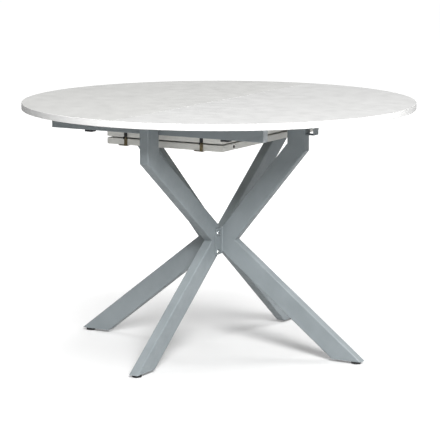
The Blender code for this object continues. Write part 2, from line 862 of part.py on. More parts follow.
def build_tops(lacquer, zinc, plastic):
    for label, side in SIDES.items():
        pieces = [half_top(f"top_half_{label}", side, lacquer)]
        pieces.append(bolt_housing(f"bolt_housing_{label}", side, plastic))
        for end_label, end in ENDS.items():
            pieces.append(runner(f"runner_{end_label}_{label}", side, end, zinc))
        if label == "right":
            for number, y in enumerate((-SEAM_PIN_Y, SEAM_PIN_Y), 1):
                pieces.append(seam_pin(f"seam_pin_{number}", y, zinc))
        carry(f"slide_{label}", (side * TOP_RADIUS / 2, 0, TOP_UNDERSIDE), pieces)
        bolt = lock_bolt(f"lock_bolt_{label}", side, zinc)
        carry(f"bolt_axis_{label}", (side * BOLT_X, 0, BOLT_KNOB_Z), [bolt])


def build_leaf(lacquer, black, brass, steel):
    upper = [leaf_board("leaf_board_upper", LEAF_UPPER_Z, lacquer), pivot_shaft("pivot_shaft", steel)]
    lower = [leaf_board("leaf_board_lower", LEAF_LOWER_Z, lacquer)]
    for label, side in SIDES.items():
        upper.append(carrier_arm(f"carrier_arm_{label}", side, steel))
    for label, x in zip(("left", "right"), HINGE_X):
        upper.append(hinge_half(f"hinge_upper_{label}", x, 1, black))
        lower.append(hinge_half(f"hinge_lower_{label}", x, -1, brass))
        half = HINGE_WIDTH / 2 + 0.001
        ends = [(x + step, FOLD_Y, FOLD_Z) for step in (-half, half)]
        upper.append(cylinder(f"hinge_pin_{label}", *ends, HINGE_PIN_RADIUS, brass, 16))
    carry("leaf_pivot_axis", (0, SHAFT_Y, SHAFT_Z), upper)
    carry("leaf_fold_axis", (0, FOLD_Y, FOLD_Z), lower)


def main():
    clear_scene()
    paint = finish("grey_powder_coat", "6a7174", 0.45, 0.0)
    lacquer = finish("white_lacquer", "f2f2f0", 0.35, 0.0)
    zinc = finish("zinc_steel", "b9bcbd", 0.35, 1.0)
    black = finish("black_steel", "1d1d1e", 0.4, 0.0)
    brass = finish("brass", "a88a4c", 0.35, 1.0)
    plastic = finish("black_plastic", "1b1c1d", 0.5, 0.0)
    build_frame(paint, zinc)
    for name in LEG_ANGLES:
        glide(name, plastic)
    build_tops(lacquer, zinc, plastic)
    build_leaf(lacquer, black, brass, zinc)


main()
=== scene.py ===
# %% [markdown]
# # An extendable round dining table
#
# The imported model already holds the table's frame, slides, leaf and locks at their real sizes. This
# lesson gives it its looks: the camera, the light, the finishes, and the pieces whose shape is finer
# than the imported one. Lengths are metres, +Z is up, and the two half tops slide apart along X.

# %% Load the frame
import json
import math

import bmesh
import bpy
from mathutils import Matrix, Vector

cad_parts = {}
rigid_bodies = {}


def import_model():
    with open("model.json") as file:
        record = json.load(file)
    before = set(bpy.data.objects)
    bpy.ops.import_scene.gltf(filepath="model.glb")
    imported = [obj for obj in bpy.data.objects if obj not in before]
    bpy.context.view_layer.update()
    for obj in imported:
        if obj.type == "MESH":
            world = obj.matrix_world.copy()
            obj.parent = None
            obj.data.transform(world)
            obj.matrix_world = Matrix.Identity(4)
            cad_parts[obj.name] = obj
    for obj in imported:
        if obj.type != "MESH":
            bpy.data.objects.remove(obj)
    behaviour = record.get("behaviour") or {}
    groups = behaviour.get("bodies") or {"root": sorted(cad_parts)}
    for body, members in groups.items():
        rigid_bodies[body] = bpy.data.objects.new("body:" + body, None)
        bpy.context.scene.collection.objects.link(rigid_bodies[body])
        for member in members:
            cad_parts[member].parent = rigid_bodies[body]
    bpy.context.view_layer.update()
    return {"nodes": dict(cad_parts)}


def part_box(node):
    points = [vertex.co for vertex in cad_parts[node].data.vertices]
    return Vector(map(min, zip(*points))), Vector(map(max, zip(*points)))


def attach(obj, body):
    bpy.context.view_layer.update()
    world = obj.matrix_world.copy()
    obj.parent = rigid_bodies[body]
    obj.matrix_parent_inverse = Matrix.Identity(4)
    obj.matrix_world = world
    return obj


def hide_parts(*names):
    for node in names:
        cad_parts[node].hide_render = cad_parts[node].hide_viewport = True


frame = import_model()
nodes = frame["nodes"]
MM = 0.001
SIDES = {"right": 1, "left": -1}
ENDS = {"front": -1, "rear": 1}
LEGS = ("right", "front", "left", "rear")

# %% [markdown]
# ## Camera
#
# A table is looked at from a standing person's height and from some way off, so the lens is long and
# its lines stay nearly parallel. A long lens could be faked with an orthographic camera, but then the
# front leg would not come out larger than the rear one. So the camera stands 6.6 m away, 1.5 m up,
# looks down by about nine degrees, and is turned 30 degrees to the right of the seam.

# %% Camera
CAMERA_DISTANCE = 6.6124
CAMERA_HEIGHT = 1.4976
CAMERA_TURN = math.radians(30.19)
CAMERA_PITCH = math.radians(9.46)
CAMERA_ASIDE = 0.0033
LENS_MM = 178.36

look = Vector((-math.sin(CAMERA_TURN), math.cos(CAMERA_TURN), 0))
aside = Vector((math.cos(CAMERA_TURN), math.sin(CAMERA_TURN), 0))
camera_data = bpy.data.cameras.new("camera")
camera_data.lens = LENS_MM
camera_data.sensor_width = 36
camera_data.clip_end = 200
camera = bpy.data.objects.new("camera", camera_data)
camera.location = aside * CAMERA_ASIDE - look * CAMERA_DISTANCE + Vector((0, 0, CAMERA_HEIGHT))
camera.rotation_euler = (math.radians(90) - CAMERA_PITCH, 0, CAMERA_TURN)
bpy.context.scene.collection.objects.link(camera)
bpy.context.scene.camera = camera
print("camera at", [round(c, 3) for c in camera.location])

# %% [markdown]
# ## Colour and node helpers
#
# Paint charts give sRGB colours, and a shader wants linear light, so one function turns one into the
# other. A second small function adds any node, sets it and links it. A finish is always the same
# recipe, a colour that drifts, a roughness that drifts and a fine relief, so one function builds all
# of them and each finish below is only its numbers. Blender's noise stays near 0.5, so it is spread
# from 0.35 to 0.65 before it is used.


# %% Helpers for finishes
NOISE_RANGE = (0.35, 0.65)


def linear(hex_colour):
    """An sRGB hex colour such as 6b7073 as linear RGBA."""
    channels = [int(hex_colour[i : i + 2], 16) / 255 for i in (0, 2, 4)]
    light = [c / 12.92 if c <= 0.04045 else ((c + 0.055) / 1.055) ** 2.4 for c in channels]
    return (*light, 1)


def add(tree, kind, inputs=None, **settings):
    """Adds a node: inputs hold values or other nodes' outputs, settings its own properties."""
    made = tree.nodes.new(kind)
    for name, value in settings.items():
        setattr(made, name, value)
    for name, value in (inputs or {}).items():
        if isinstance(value, bpy.types.NodeSocket):
            tree.links.new(value, made.inputs[name])
        else:
            made.inputs[name].default_value = value
    return made


def new_finish(name, **values):
    """A material with a Principled shader; values are its constant sockets, spaces as _."""
    material = bpy.data.materials.new(name)
    material.use_nodes = True
    shader = material.node_tree.nodes["Principled BSDF"]
    for socket, value in values.items():
        shader.inputs[socket.replace("_", " ")].default_value = value
    return material, material.node_tree, shader


def finish(name, colours, rough, relief, cloud, haze, peel, grain=(1, 1, 1), **values):
    """A material from three noises, each given as (size in metres, detail).

    cloud mixes the two hex colours, haze spreads the roughness over its range, and peel raises the
    surface by relief metres. grain squeezes haze and peel, so that they run along one axis.
    """
    material, tree, shader = new_finish(name, **values)
    place = add(tree, "ShaderNodeTexCoord").outputs["Object"]
    noises = []
    for (size, detail), squeeze in ((cloud, (1, 1, 1)), (haze, grain), (peel, grain)):
        mapped = add(tree, "ShaderNodeMapping", {"Vector": place, "Scale": squeeze}).outputs["Vector"]
        settings = {"Vector": mapped, "Scale": 1 / size, "Detail": detail}
        noises.append(add(tree, "ShaderNodeTexNoise", settings).outputs["Fac"])
    low, high = NOISE_RANGE
    spread = {"Value": noises[0], "From Min": low, "From Max": high}
    blend = add(tree, "ShaderNodeMapRange", spread).outputs["Result"]
    blend_inputs = {"Factor": blend, 6: linear(colours[0]), 7: linear(colours[1])}
    colour = add(tree, "ShaderNodeMix", blend_inputs, data_type="RGBA").outputs[2]
    spread = {"Value": noises[1], "From Min": low, "From Max": high, "To Min": rough[0], "To Max": rough[1]}
    sheen = add(tree, "ShaderNodeMapRange", spread).outputs["Result"]
    skin = add(tree, "ShaderNodeBump", {"Height": noises[2], "Distance": relief}).outputs["Normal"]
    tree.links.new(colour, shader.inputs["Base Color"])
    tree.links.new(sheen, shader.inputs["Roughness"])
    tree.links.new(skin, shader.inputs["Normal"])
    return material


# %% [markdown]
# ## Floor and light
#
# The table stands on a white floor in a light tent, with a large soft box up to the right of the
# camera and weaker ones to the left and behind, so that the far side can be read too. The sky could
# be an image of a studio, but a plain world that is brighter overhead than at the horizon gives the
# same shade under the top, and stays easy to read. The floor glows for the camera only, so it doesn't
# light the table from below. This glow is painted light: it starts at nothing under the hub and grows
# outwards, so a soft shadow stays there and the far floor is painted plain white.

# %% Floor and light
WORLD_HORIZON = 0.12
WORLD_OVERHEAD = 0.30
FLOOR_SIZE = 120.0
FLOOR_GLOW_NEAR = 0.0
FLOOR_GLOW_FAR = 0.86
FLOOR_NEAR = 0.25
FLOOR_FAR = 1.3
FLOOR_HEX = "cccccc"

floor_mesh = bmesh.new()
bmesh.ops.create_grid(floor_mesh, x_segments=1, y_segments=1, size=FLOOR_SIZE / 2)
floor_data = bpy.data.meshes.new("floor")
floor_mesh.to_mesh(floor_data)
floor_mesh.free()
floor = bpy.data.objects.new("floor", floor_data)
bpy.context.scene.collection.objects.link(floor)
floor_paint, tree, shader = new_finish(
    "studio_floor_painted",
    Base_Color=linear(FLOOR_HEX),
    Roughness=0.9,
    Specular_IOR_Level=0.1,
    Emission_Color=linear("ffffff"),
)
place = add(tree, "ShaderNodeTexCoord").outputs["Object"]
reach = add(tree, "ShaderNodeVectorMath", {"Vector": place}, operation="LENGTH").outputs["Value"]
# Painted light: the floor's glow grows from nothing under the hub to nearly white far off.
floor_glow_ramp = add(
    tree,
    "ShaderNodeMapRange",
    {
        "Value": reach,
        "From Min": FLOOR_NEAR,
        "From Max": FLOOR_FAR,
        "To Min": FLOOR_GLOW_NEAR,
        "To Max": FLOOR_GLOW_FAR,
    },
).outputs["Result"]
seen = add(tree, "ShaderNodeLightPath").outputs["Is Camera Ray"]
glow = add(tree, "ShaderNodeMath", {0: seen, 1: floor_glow_ramp}, operation="MULTIPLY")
tree.links.new(glow.outputs["Value"], shader.inputs["Emission Strength"])
floor.data.materials.append(floor_paint)

world = bpy.data.worlds.new("light_tent")
world.use_nodes = True
sky = world.node_tree
up = add(sky, "ShaderNodeSeparateXYZ", {"Vector": add(sky, "ShaderNodeTexCoord").outputs["Generated"]})
strength = add(
    sky,
    "ShaderNodeMapRange",
    {"Value": up.outputs["Z"], "To Min": WORLD_HORIZON, "To Max": WORLD_OVERHEAD},
)
backdrop = add(sky, "ShaderNodeLightPath").outputs["Is Camera Ray"]
shown = add(sky, "ShaderNodeMath", {0: strength.outputs["Result"], 1: backdrop}, operation="MAXIMUM")
sky.nodes["Background"].inputs["Color"].default_value = (1, 1, 1, 1)
sky.links.new(shown.outputs["Value"], sky.nodes["Background"].inputs["Strength"])
bpy.context.scene.world = world
bpy.context.scene.view_settings.view_transform = "Standard"


def soft_box(name, azimuth, elevation, distance, size, watts, aim=(0, 0, 0.35)):
    """A square area light that faces the table; azimuth 0 is at -Y and grows towards +X."""
    turn, lift = math.radians(azimuth), math.radians(elevation)
    level = math.cos(lift) * distance
    away = Vector((math.sin(turn) * level, -math.cos(turn) * level, math.sin(lift) * distance))
    place = Vector(aim) + away
    data = bpy.data.lights.new(name, "AREA")
    data.energy = watts
    data.size = size
    light = bpy.data.objects.new(name, data)
    light.location = place
    light.rotation_euler = (Vector(aim) - place).to_track_quat("-Z", "Y").to_euler()
    bpy.context.scene.collection.objects.link(light)


soft_box("key_box", 42, 33, 6.0, 2.0, 620)
soft_box("left_box", -100, 40, 6.0, 2.6, 90)
soft_box("rear_box", 145, 40, 6.0, 3.0, 150)
soft_box("low_box", 10, 8, 7.0, 2.0, 14)

# %% [markdown]
# ## Powder-coated steel tube
#
# The legs and rails are cold-rolled steel tube, powder coated in mid grey. The powder melts into a
# satin skin with a fine orange peel, about 1 mm from bump to bump, and it pools a little darker and
# glossier in places. The peel is too fine to show from 6 m, so it is drawn at 3 mm, and a faint broad
# mottle stands for the uneven build of the coat.

# %% Powder coat
grey_coat = finish(
    "steel_powder_coated_grey",
    ("7c8386", "747b7e"),
    rough=(0.38, 0.52),
    relief=0.06 * MM,
    cloud=(90 * MM, 4),
    haze=(14 * MM, 3),
    peel=(3 * MM, 1),
)

# %% [markdown]
# ## White lacquer
#
# The top and the leaf are fibreboard, primed and sprayed with a white satin lacquer. Sprayed lacquer
# settles almost flat: what the eye finds is a soft wide sheen, a very slight orange peel about 8 mm
# across, and a hardly visible warm cast where the board was sanded thin. Paint alone would look like
# plaster, so the sheen comes from a low roughness with a little fine variation. The two halves meet in
# a line too fine to see. Both are sprayed alike, but the left one is drawn a little darker as painted
# shade, and the seam shows as a step in tone.

# %% Lacquer
SPRAYED = {
    "relief": 0.02 * MM,
    "cloud": (160 * MM, 3),
    "haze": (45 * MM, 5),
    "peel": (8 * MM, 1),
    "IOR": 1.46,
}

top_right_white = finish("fibreboard_lacquered_white", ("cfcfce", "cccccb"), rough=(0.30, 0.40), **SPRAYED)
# The left half's darker white is painted shade: the same lacquer, drawn as if it were less lit.
top_left_painted_shade = finish("fibreboard_lacquered_white_painted_shade", ("cbcbc9", "c8c8c6"), rough=(0.30, 0.40), **SPRAYED)
edge_white = finish("edging_lacquered_white", ("cececd", "cbcbca"), rough=(0.28, 0.36), **SPRAYED)
leaf_white = finish("leaf_board_lacquered_white", ("d8d7d2", "d2d1cb"), rough=(0.32, 0.42), **SPRAYED)

# %% [markdown]
# ## Zinc plate, brass, black enamel and nylon
#
# Bought-in hardware comes in a few finishes. Bright zinc plate is a cool metal whose chromate dip
# leaves faint warm and blue clouds, and steel strip shows its rolling as fine lines along X. Brass is
# warm and slightly tarnished. The hinges' visible leaves are stamped steel in black stoving enamel.
# Glides and guides are injection-moulded nylon with an eroded, matt skin.

# %% Hardware finishes
PLATED = {
    "relief": 0.03 * MM,
    "cloud": (12 * MM, 3),
    "haze": (2 * MM, 3),
    "peel": (2 * MM, 3),
    "Metallic": 1.0,
}
ROLLED = {**PLATED, "grain": (0.05, 1, 1)}
SKINNED = {"cloud": (20 * MM, 3), "haze": (20 * MM, 3), "IOR": 1.5}
ENAMELLED = {**SKINNED, "relief": 0.02 * MM, "peel": (6 * MM, 2)}
MOULDED = {**SKINNED, "relief": 0.05 * MM, "peel": (1.5 * MM, 2)}

zinc = finish("steel_zinc_plated", ("c9cdd0", "b4b6b4"), rough=(0.22, 0.34), **PLATED)
strip_zinc = finish("steel_strip_galvanised", ("b9bdbf", "a5a8a8"), rough=(0.30, 0.46), **ROLLED)
bright_steel = finish("steel_bar_drawn", ("c4c6c7", "b0b2b2"), rough=(0.18, 0.30), **ROLLED)
brass = finish("brass_stamped", ("83775c", "575041"), rough=(0.26, 0.42), **PLATED)
black_enamel = finish("steel_stove_enamelled_black", ("1c1c1d", "242425"), rough=(0.24, 0.36), **ENAMELLED)
black_nylon = finish("nylon_moulded_black", ("1b1c1d", "262728"), rough=(0.45, 0.60), **MOULDED)
grey_nylon = finish("nylon_moulded_grey", ("a9afb2", "9ea4a7"), rough=(0.40, 0.55), **MOULDED)
print("finishes", len(bpy.data.materials))


# %% [markdown]
# ## Helpers for shapes
#
# A new piece is drawn in a bmesh, in the table's own coordinates, and becomes an object only when it is
# finished, so its origin stays at the table's. Normals are worked out again after a spin or a mirror,
# which can turn a shape inside out, and round faces are shaded smooth while sharp edges stay sharp. A
# Weighted Normal modifier then keeps the broad faces flat, where plain smoothing would bend the light
# across the whole top from one thin rounded edge.


# %% Helpers for pieces
pieces = {}
HEAD_SIDES = 24
SHARP_DEGREES = 35
MERGE = 1e-7
CLOSE = 1e-6


def piece(name, bm, finish, body, replaces=(), sharp=SHARP_DEGREES):
    """Makes an object of a bmesh, gives it its finish, and lets it ride on a body."""
    bmesh.ops.remove_doubles(bm, verts=bm.verts[:], dist=MERGE)
    bmesh.ops.recalc_face_normals(bm, faces=bm.faces[:])
    mesh = bpy.data.meshes.new(name)
    bm.to_mesh(mesh)
    bm.free()
    mesh.shade_smooth()
    mesh.set_sharp_from_angle(angle=math.radians(sharp))
    mesh.materials.append(finish)
    made = bpy.data.objects.new(name, mesh)
    bpy.context.scene.collection.objects.link(made)
    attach(made, body)
    if replaces:
        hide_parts(*replaces)
    weigh_normals(made)
    pieces[name] = made
    return made


def weigh_normals(made):
    """Lets the larger faces set the shading, so that a flat stays flat beside its rounded edge."""
    step = made.modifiers.new("weigh_normals", "WEIGHTED_NORMAL")
    step.keep_sharp = True
    step.weight = 100


def block(bm, low, high, round_by=0.0, segments=2):
    """Adds a box with rounded edges between two corners."""
    low, high = Vector(low), Vector(high)
    verts = bmesh.ops.create_cube(bm, size=1)["verts"]
    bmesh.ops.scale(bm, vec=high - low, verts=verts)
    bmesh.ops.translate(bm, vec=(high + low) / 2, verts=verts)
    edges = list({edge for vert in verts for edge in vert.link_edges})
    if round_by:
        bmesh.ops.bevel(
            bm, geom=edges, offset=round_by, segments=segments, affect="EDGES", profile=0.5, material=-1
        )


def turned(bm, profile, place, axis=(0, 0, 1), steps=HEAD_SIDES):
    """Adds a turned shape: profile points are (radius, height along the axis from place)."""
    verts = [bm.verts.new((radius, 0, height)) for radius, height in profile]
    edges = [bm.edges.new(pair) for pair in zip(verts, verts[1:])]
    bmesh.ops.spin(
        bm,
        geom=verts + edges,
        axis=(0, 0, 1),
        cent=(0, 0, 0),
        angle=2 * math.pi,
        steps=steps,
        use_merge=True,
    )
    made = {v for v in verts if v.is_valid}
    grow = list(made)
    while grow:
        near = [e.other_vert(v) for v in grow for e in v.link_edges]
        grow = list({v for v in near if v not in made})
        made.update(grow)
    turn = Vector(axis).to_track_quat("Z", "Y").to_matrix().to_4x4()
    bmesh.ops.transform(bm, verts=list(made), matrix=Matrix.Translation(Vector(place)) @ turn)


def pan_head(bm, place, axis, radius=3.2 * MM, height=2.0 * MM, sunk=1.0 * MM):
    """Adds a pan-head screw with a hexagon socket, standing on a face at place."""
    socket = radius * 0.42
    profile = (
        (0, height * 0.45),
        (socket, height * 0.45),
        (socket, height * 0.96),
        (radius * 0.62, height),
        (radius * 0.88, height * 0.78),
        (radius, height * 0.36),
        (radius, 0),
        (radius * 0.5, 0),
        (radius * 0.5, -sunk),
        (0, -sunk),
    )
    turned(bm, profile, place, axis, steps=18)


def holes(made, cutters):
    """Bores round holes through a piece: each cutter is (start, end, radius)."""
    made.modifiers.clear()
    for number, (start, end, radius) in enumerate(cutters):
        bm = bmesh.new()
        span = Vector(end) - Vector(start)
        turned(bm, ((0, 0), (radius, 0), (radius, span.length), (0, span.length)), start, span)
        bmesh.ops.recalc_face_normals(bm, faces=bm.faces[:])
        mesh = bpy.data.meshes.new("bore")
        bm.to_mesh(mesh)
        bm.free()
        cutter = bpy.data.objects.new(f"bore_{number}", mesh)
        bpy.context.scene.collection.objects.link(cutter)
        step = made.modifiers.new("bore", "BOOLEAN")
        step.operation = "DIFFERENCE"
        step.solver = "EXACT"
        step.object = cutter
    settle(made)
    for old in [o for o in bpy.data.objects if o.name.startswith("bore_")]:
        bpy.data.objects.remove(old)
    return made


def settle(made):
    """Applies a piece's modifiers to its mesh."""
    depsgraph = bpy.context.evaluated_depsgraph_get()
    mesh = bpy.data.meshes.new_from_object(made.evaluated_get(depsgraph))
    made.modifiers.clear()
    made.data = mesh
    mesh.shade_smooth()
    mesh.set_sharp_from_angle(angle=math.radians(SHARP_DEGREES))
    weigh_normals(made)


# %% [markdown]
# ## Half tops
#
# Each half top is a half disc of fibreboard with a softened edge, and a band of harder lacquer round
# the rim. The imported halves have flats 26 mm long round the rim, which show against the light, so finer
# ones stand for them. One disc cut down the seam and pulled up to its thickness keeps both halves truly
# round; a Bevel with three segments then gives the small radius that a router leaves. Along the seam the
# radius is smaller still, so the line between the halves stays fine, and the seam's ends at the rim are
# rounded like the rim.

# %% Half tops
RIM_STEPS = 480
RIM_BAND = 1.2 * MM
RIM_ROUND = 1.1 * MM
CORNER_ROUND = 1.0 * MM
RIM_CLOSE = 0.1 * MM
SEAM_ROUND = 0.2 * MM
PIN_BORE = 4.3 * MM
PIN_DEPTH = 15.5 * MM

top_low, top_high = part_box("top_half_right")
top_radius = top_high.x
seam = top_low.x
board = top_high.z - top_low.z
pin_places = []
for number in (1, 2):
    low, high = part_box(f"seam_pin_{number}")
    pin_places.append((low + high) / 2)


def half_disc(radius, inner=None):
    """A half disc on the +X side of the seam, or a half ring if inner is given."""
    bm = bmesh.new()
    bmesh.ops.create_circle(bm, cap_ends=inner is None, radius=radius, segments=RIM_STEPS)
    if inner is not None:
        bmesh.ops.create_circle(bm, cap_ends=False, radius=inner, segments=RIM_STEPS)
        bmesh.ops.bridge_loops(bm, edges=bm.edges[:])
    everything = bm.verts[:] + bm.edges[:] + bm.faces[:]
    bmesh.ops.bisect_plane(
        bm, geom=everything, plane_co=(seam, 0, 0), plane_no=(-1, 0, 0), clear_outer=True, dist=MERGE
    )
    pulled = bmesh.ops.extrude_face_region(bm, geom=bm.faces[:])
    lifted = [g for g in pulled["geom"] if isinstance(g, bmesh.types.BMVert)]
    bmesh.ops.translate(bm, vec=(0, 0, board), verts=lifted)
    bmesh.ops.translate(bm, vec=(0, 0, top_low.z), verts=bm.verts[:])
    bmesh.ops.recalc_face_normals(bm, faces=bm.faces[:])
    return bm


def soften(bm, test, offset, segments=3):
    """Bevels the sharp edges that pass a test."""
    edges = [e for e in bm.edges if e.calc_face_angle(0) > math.radians(60) and test(e)]
    bmesh.ops.bevel(
        bm, geom=edges, offset=offset, segments=segments, affect="EDGES", profile=0.5, material=-1
    )


def is_level(edge):
    return abs(edge.verts[0].co.z - edge.verts[1].co.z) < CLOSE


def by_seam(edge):
    return all(abs(v.co.x - seam) < CLOSE for v in edge.verts)


def by_rim(edge):
    return all(v.co.to_2d().length > top_radius - RIM_CLOSE for v in edge.verts)


def at_seam(edge):
    return is_level(edge) and by_seam(edge)


def at_rim(edge):
    return is_level(edge) and by_rim(edge)


def at_corner(edge):
    return by_seam(edge) and by_rim(edge) and not is_level(edge)


# The left board takes the white that is drawn darker as painted shade.
BOARD_FINISHES = {"right": top_right_white, "left": top_left_painted_shade}
for side_name, side in SIDES.items():
    core = half_disc(top_radius - RIM_BAND)
    soften(core, at_seam, SEAM_ROUND)
    band = half_disc(top_radius, top_radius - RIM_BAND)
    soften(band, at_corner, CORNER_ROUND)
    soften(band, at_rim, RIM_ROUND)
    for bm in (core, band):
        bmesh.ops.scale(bm, vec=(side, 1, 1), verts=bm.verts[:])
    body = f"top_{side_name}"
    node = f"top_half_{side_name}"
    top = piece(f"top_board_{side_name}", core, BOARD_FINISHES[side_name], body, (node,))
    bores = []
    for pin in pin_places:
        outside = (-side * 1 * MM, pin.y, pin.z)
        inside = (side * PIN_DEPTH, pin.y, pin.z)
        bores.append((outside, inside, PIN_BORE))
    holes(top, bores)
    piece(f"top_edging_{side_name}", band, edge_white, body, (node,))
print("half tops", [len(pieces[f"top_board_{s}"].data.polygons) for s in SIDES])

# %% [markdown]
# ## Leaf boards
#
# The leaf is two boards, folded face to face like a closed book, and only their front and right edges
# show. Each is a plain panel, so a box with its edges routed to a 1.5 mm radius is the whole shape. The
# hole that a seam pin enters is bored with a Boolean, and a nylon bush lines it, as a bare hole in
# fibreboard would soon wear.

# %% Leaf boards
LEAF_ROUND = 1.5 * MM
BUSH_WALL = 0.8 * MM

LEAF_HOLE_Y = -253 * MM
for level_name in ("upper", "lower"):
    node = f"leaf_board_{level_name}"
    low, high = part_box(node)
    bm = bmesh.new()
    block(bm, low, high, LEAF_ROUND, 3)
    panel = piece(f"leaf_panel_{level_name}", bm, leaf_white, f"leaf_{level_name}", (node,))
    middle = (low.z + high.z) / 2
    outside = (high.x + 1 * MM, LEAF_HOLE_Y, middle)
    inside = (high.x - PIN_DEPTH, LEAF_HOLE_Y, middle)
    holes(panel, [(outside, inside, PIN_BORE + BUSH_WALL)])
    bm = bmesh.new()
    length = PIN_DEPTH - 0.5 * MM
    wall = (
        (PIN_BORE, 0),
        (PIN_BORE + BUSH_WALL, 0),
        (PIN_BORE + BUSH_WALL, length),
        (PIN_BORE, length),
        (PIN_BORE, 0),
    )
    turned(bm, wall, (high.x - 0.2 * MM - length, LEAF_HOLE_Y, middle), (1, 0, 0))
    piece(f"leaf_bush_{level_name}", bm, black_nylon, f"leaf_{level_name}")

# %% [markdown]
# ## Welds
#
# Each leg is three lengths of tube, mitred and welded, and the welds are ground flush before painting,
# so a bend shows as a clean crease. The side legs meet the hub's flanges, and the cross bars meet the
# rails, with a fillet weld that is left as it is. A bead could be swept along a curve, but the tube's
# own end face already has the right outline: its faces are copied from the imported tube, pulled across
# the joint, and spread a little where the weld flares out.

# %% Welds
JOINT = 0.3 * MM
DRESSED_PROUD = 0.12 * MM
FILLET = 2.2 * MM


def end_face(node, way, least=0.99):
    """The end of a tube that faces a way: the faces whose normal has at least that much of it."""
    bm = bmesh.new()
    bm.from_mesh(nodes[node].data)
    bmesh.ops.remove_doubles(bm, verts=bm.verts[:], dist=CLOSE)
    bm.normal_update()
    other = [f for f in bm.faces if f.normal.dot(Vector(way)) <= least]
    bmesh.ops.delete(bm, geom=other, context="FACES")
    facing = sum((f.normal for f in bm.faces), Vector()).normalized()
    return bm, facing


def spread(verts, facing, grow):
    """Moves verts away from their middle by about grow, within the plane that they face."""
    middle = sum((v.co for v in verts), Vector()) / len(verts)
    reach = [(v.co - middle) for v in verts]
    wide = max(r.length for r in reach)
    for vert, arm in zip(verts, reach):
        flat = arm - facing * arm.dot(facing)
        vert.co += flat.normalized() * grow if flat.length > 0.3 * wide else Vector()


def dressed_weld(name, node, way, least=0.99):
    """A joint ground flush: a thin ring of metal that closes the gap."""
    bm, facing = end_face(node, way, least)
    pulled = bmesh.ops.extrude_face_region(bm, geom=bm.faces[:])
    moved = [g for g in pulled["geom"] if isinstance(g, bmesh.types.BMVert)]
    bmesh.ops.translate(bm, vec=facing * JOINT, verts=moved)
    spread(bm.verts[:], facing, DRESSED_PROUD)
    return piece(name, bm, grey_coat, "base")


def fillet_weld(name, node, way):
    """A bead round a tube's end: wide on the face it meets, and none on the tube."""
    bm, facing = end_face(node, way)
    bmesh.ops.translate(bm, vec=facing * JOINT, verts=bm.verts[:])
    pulled = bmesh.ops.extrude_face_region(bm, geom=bm.faces[:])
    far = [g for g in pulled["geom"] if isinstance(g, bmesh.types.BMVert)]
    bmesh.ops.translate(bm, vec=-facing * FILLET, verts=far)
    near = [v for v in bm.verts if v not in set(far)]
    spread(near, facing, FILLET)
    spread(far, facing, DRESSED_PROUD)
    return piece(name, bm, grey_coat, "base", sharp=50)


DOWN = (0, 0, -1)
UP = (0, 0, 1)
MITRE = 0.3
for leg_name in LEGS:
    dressed_weld(f"knee_weld_{leg_name}", f"upper_arm_{leg_name}", DOWN)
    dressed_weld(f"bend_weld_{leg_name}", f"post_{leg_name}", DOWN, MITRE)
for side_name, side in SIDES.items():
    for part in ("lower_leg", "upper_arm"):
        fillet_weld(f"hub_weld_{part}_{side_name}", f"{part}_{side_name}", (-side, 0, 0))
    fillet_weld(f"post_weld_{side_name}", f"post_{side_name}", UP)
    for end_name, end in ENDS.items():
        fillet_weld(f"bar_weld_{side_name}_{end_name}", f"cross_bar_{side_name}", (0, end, 0))
print("welds", sum("weld" in name for name in pieces))

# %% [markdown]
# ## Hub bolts
#
# Four zinc-plated M8 bolts clamp the side legs' flanges against the waist of the cross legs. A bolt is
# turned shapes on one axis: a washer, a hexagon head with its corners chamfered, a shank, and a nut
# with the thread standing out of it. Spinning each profile gives all of them, with six steps for a
# hexagon and many for a round.

# %% Hub bolts
WASHER_RADIUS = 8.2 * MM
WASHER = 1.3 * MM
HEX_RADIUS = 7.5 * MM
HEX_HEIGHT = 5.0 * MM
HEX_CHAMFER = 0.9 * MM
SHANK_RADIUS = 4.0 * MM
THREAD_PITCH = 1.25 * MM


def hexagon(bm, place, axis, radius=HEX_RADIUS, height=HEX_HEIGHT):
    """Adds a chamfered hexagon, such as a bolt's head, standing on a face."""
    profile = (
        (0, height),
        (radius - 1.6 * HEX_CHAMFER, height),
        (radius, height - HEX_CHAMFER),
        (radius, 0),
        (0, 0),
    )
    turned(bm, profile, place, axis, steps=6)


def thread(bottom, top, radius, pitch=THREAD_PITCH):
    """A thread's outline as rings: points of (radius, height) up one side."""
    turns = int((top - bottom) / pitch)
    points = []
    for turn in range(turns):
        height = bottom + turn * pitch
        points += [(radius * 0.86, height), (radius, height + pitch / 2)]
    return [*points, (radius * 0.86, top)]


for number in range(1, 5):
    low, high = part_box(f"hub_bolt_{number}")
    middle = (low + high) / 2
    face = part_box("hub_flange_right")[1].x
    bm = bmesh.new()
    for side in (1, -1):
        place = Vector((side * face, middle.y, middle.z))
        outward = Vector((side, 0, 0))
        ring = ((SHANK_RADIUS, 0), (WASHER_RADIUS, 0), (WASHER_RADIUS, WASHER), (SHANK_RADIUS, WASHER))
        turned(bm, (*ring, ring[0]), place, outward)
        hexagon(bm, place + outward * WASHER, outward)
    reach = 2 * face + WASHER + HEX_HEIGHT + 3.0 * MM
    end = thread(reach - 4.0 * MM, reach, SHANK_RADIUS)
    turned(bm, [(0, 0), (SHANK_RADIUS, 0), *end, (0, reach)], (face, middle.y, middle.z), (-1, 0, 0))
    piece(f"hub_fixing_{number}", bm, zinc, "base", (f"hub_bolt_{number}",))

# %% [markdown]
# ## Levelling glides
#
# A glide is a nylon foot moulded round the head of a threaded stud. It is turned, with a soft lower
# edge so that it doesn't scratch a floor, and finger notches round its rim. The notches are a ring of
# small cylinders taken out with one Boolean.

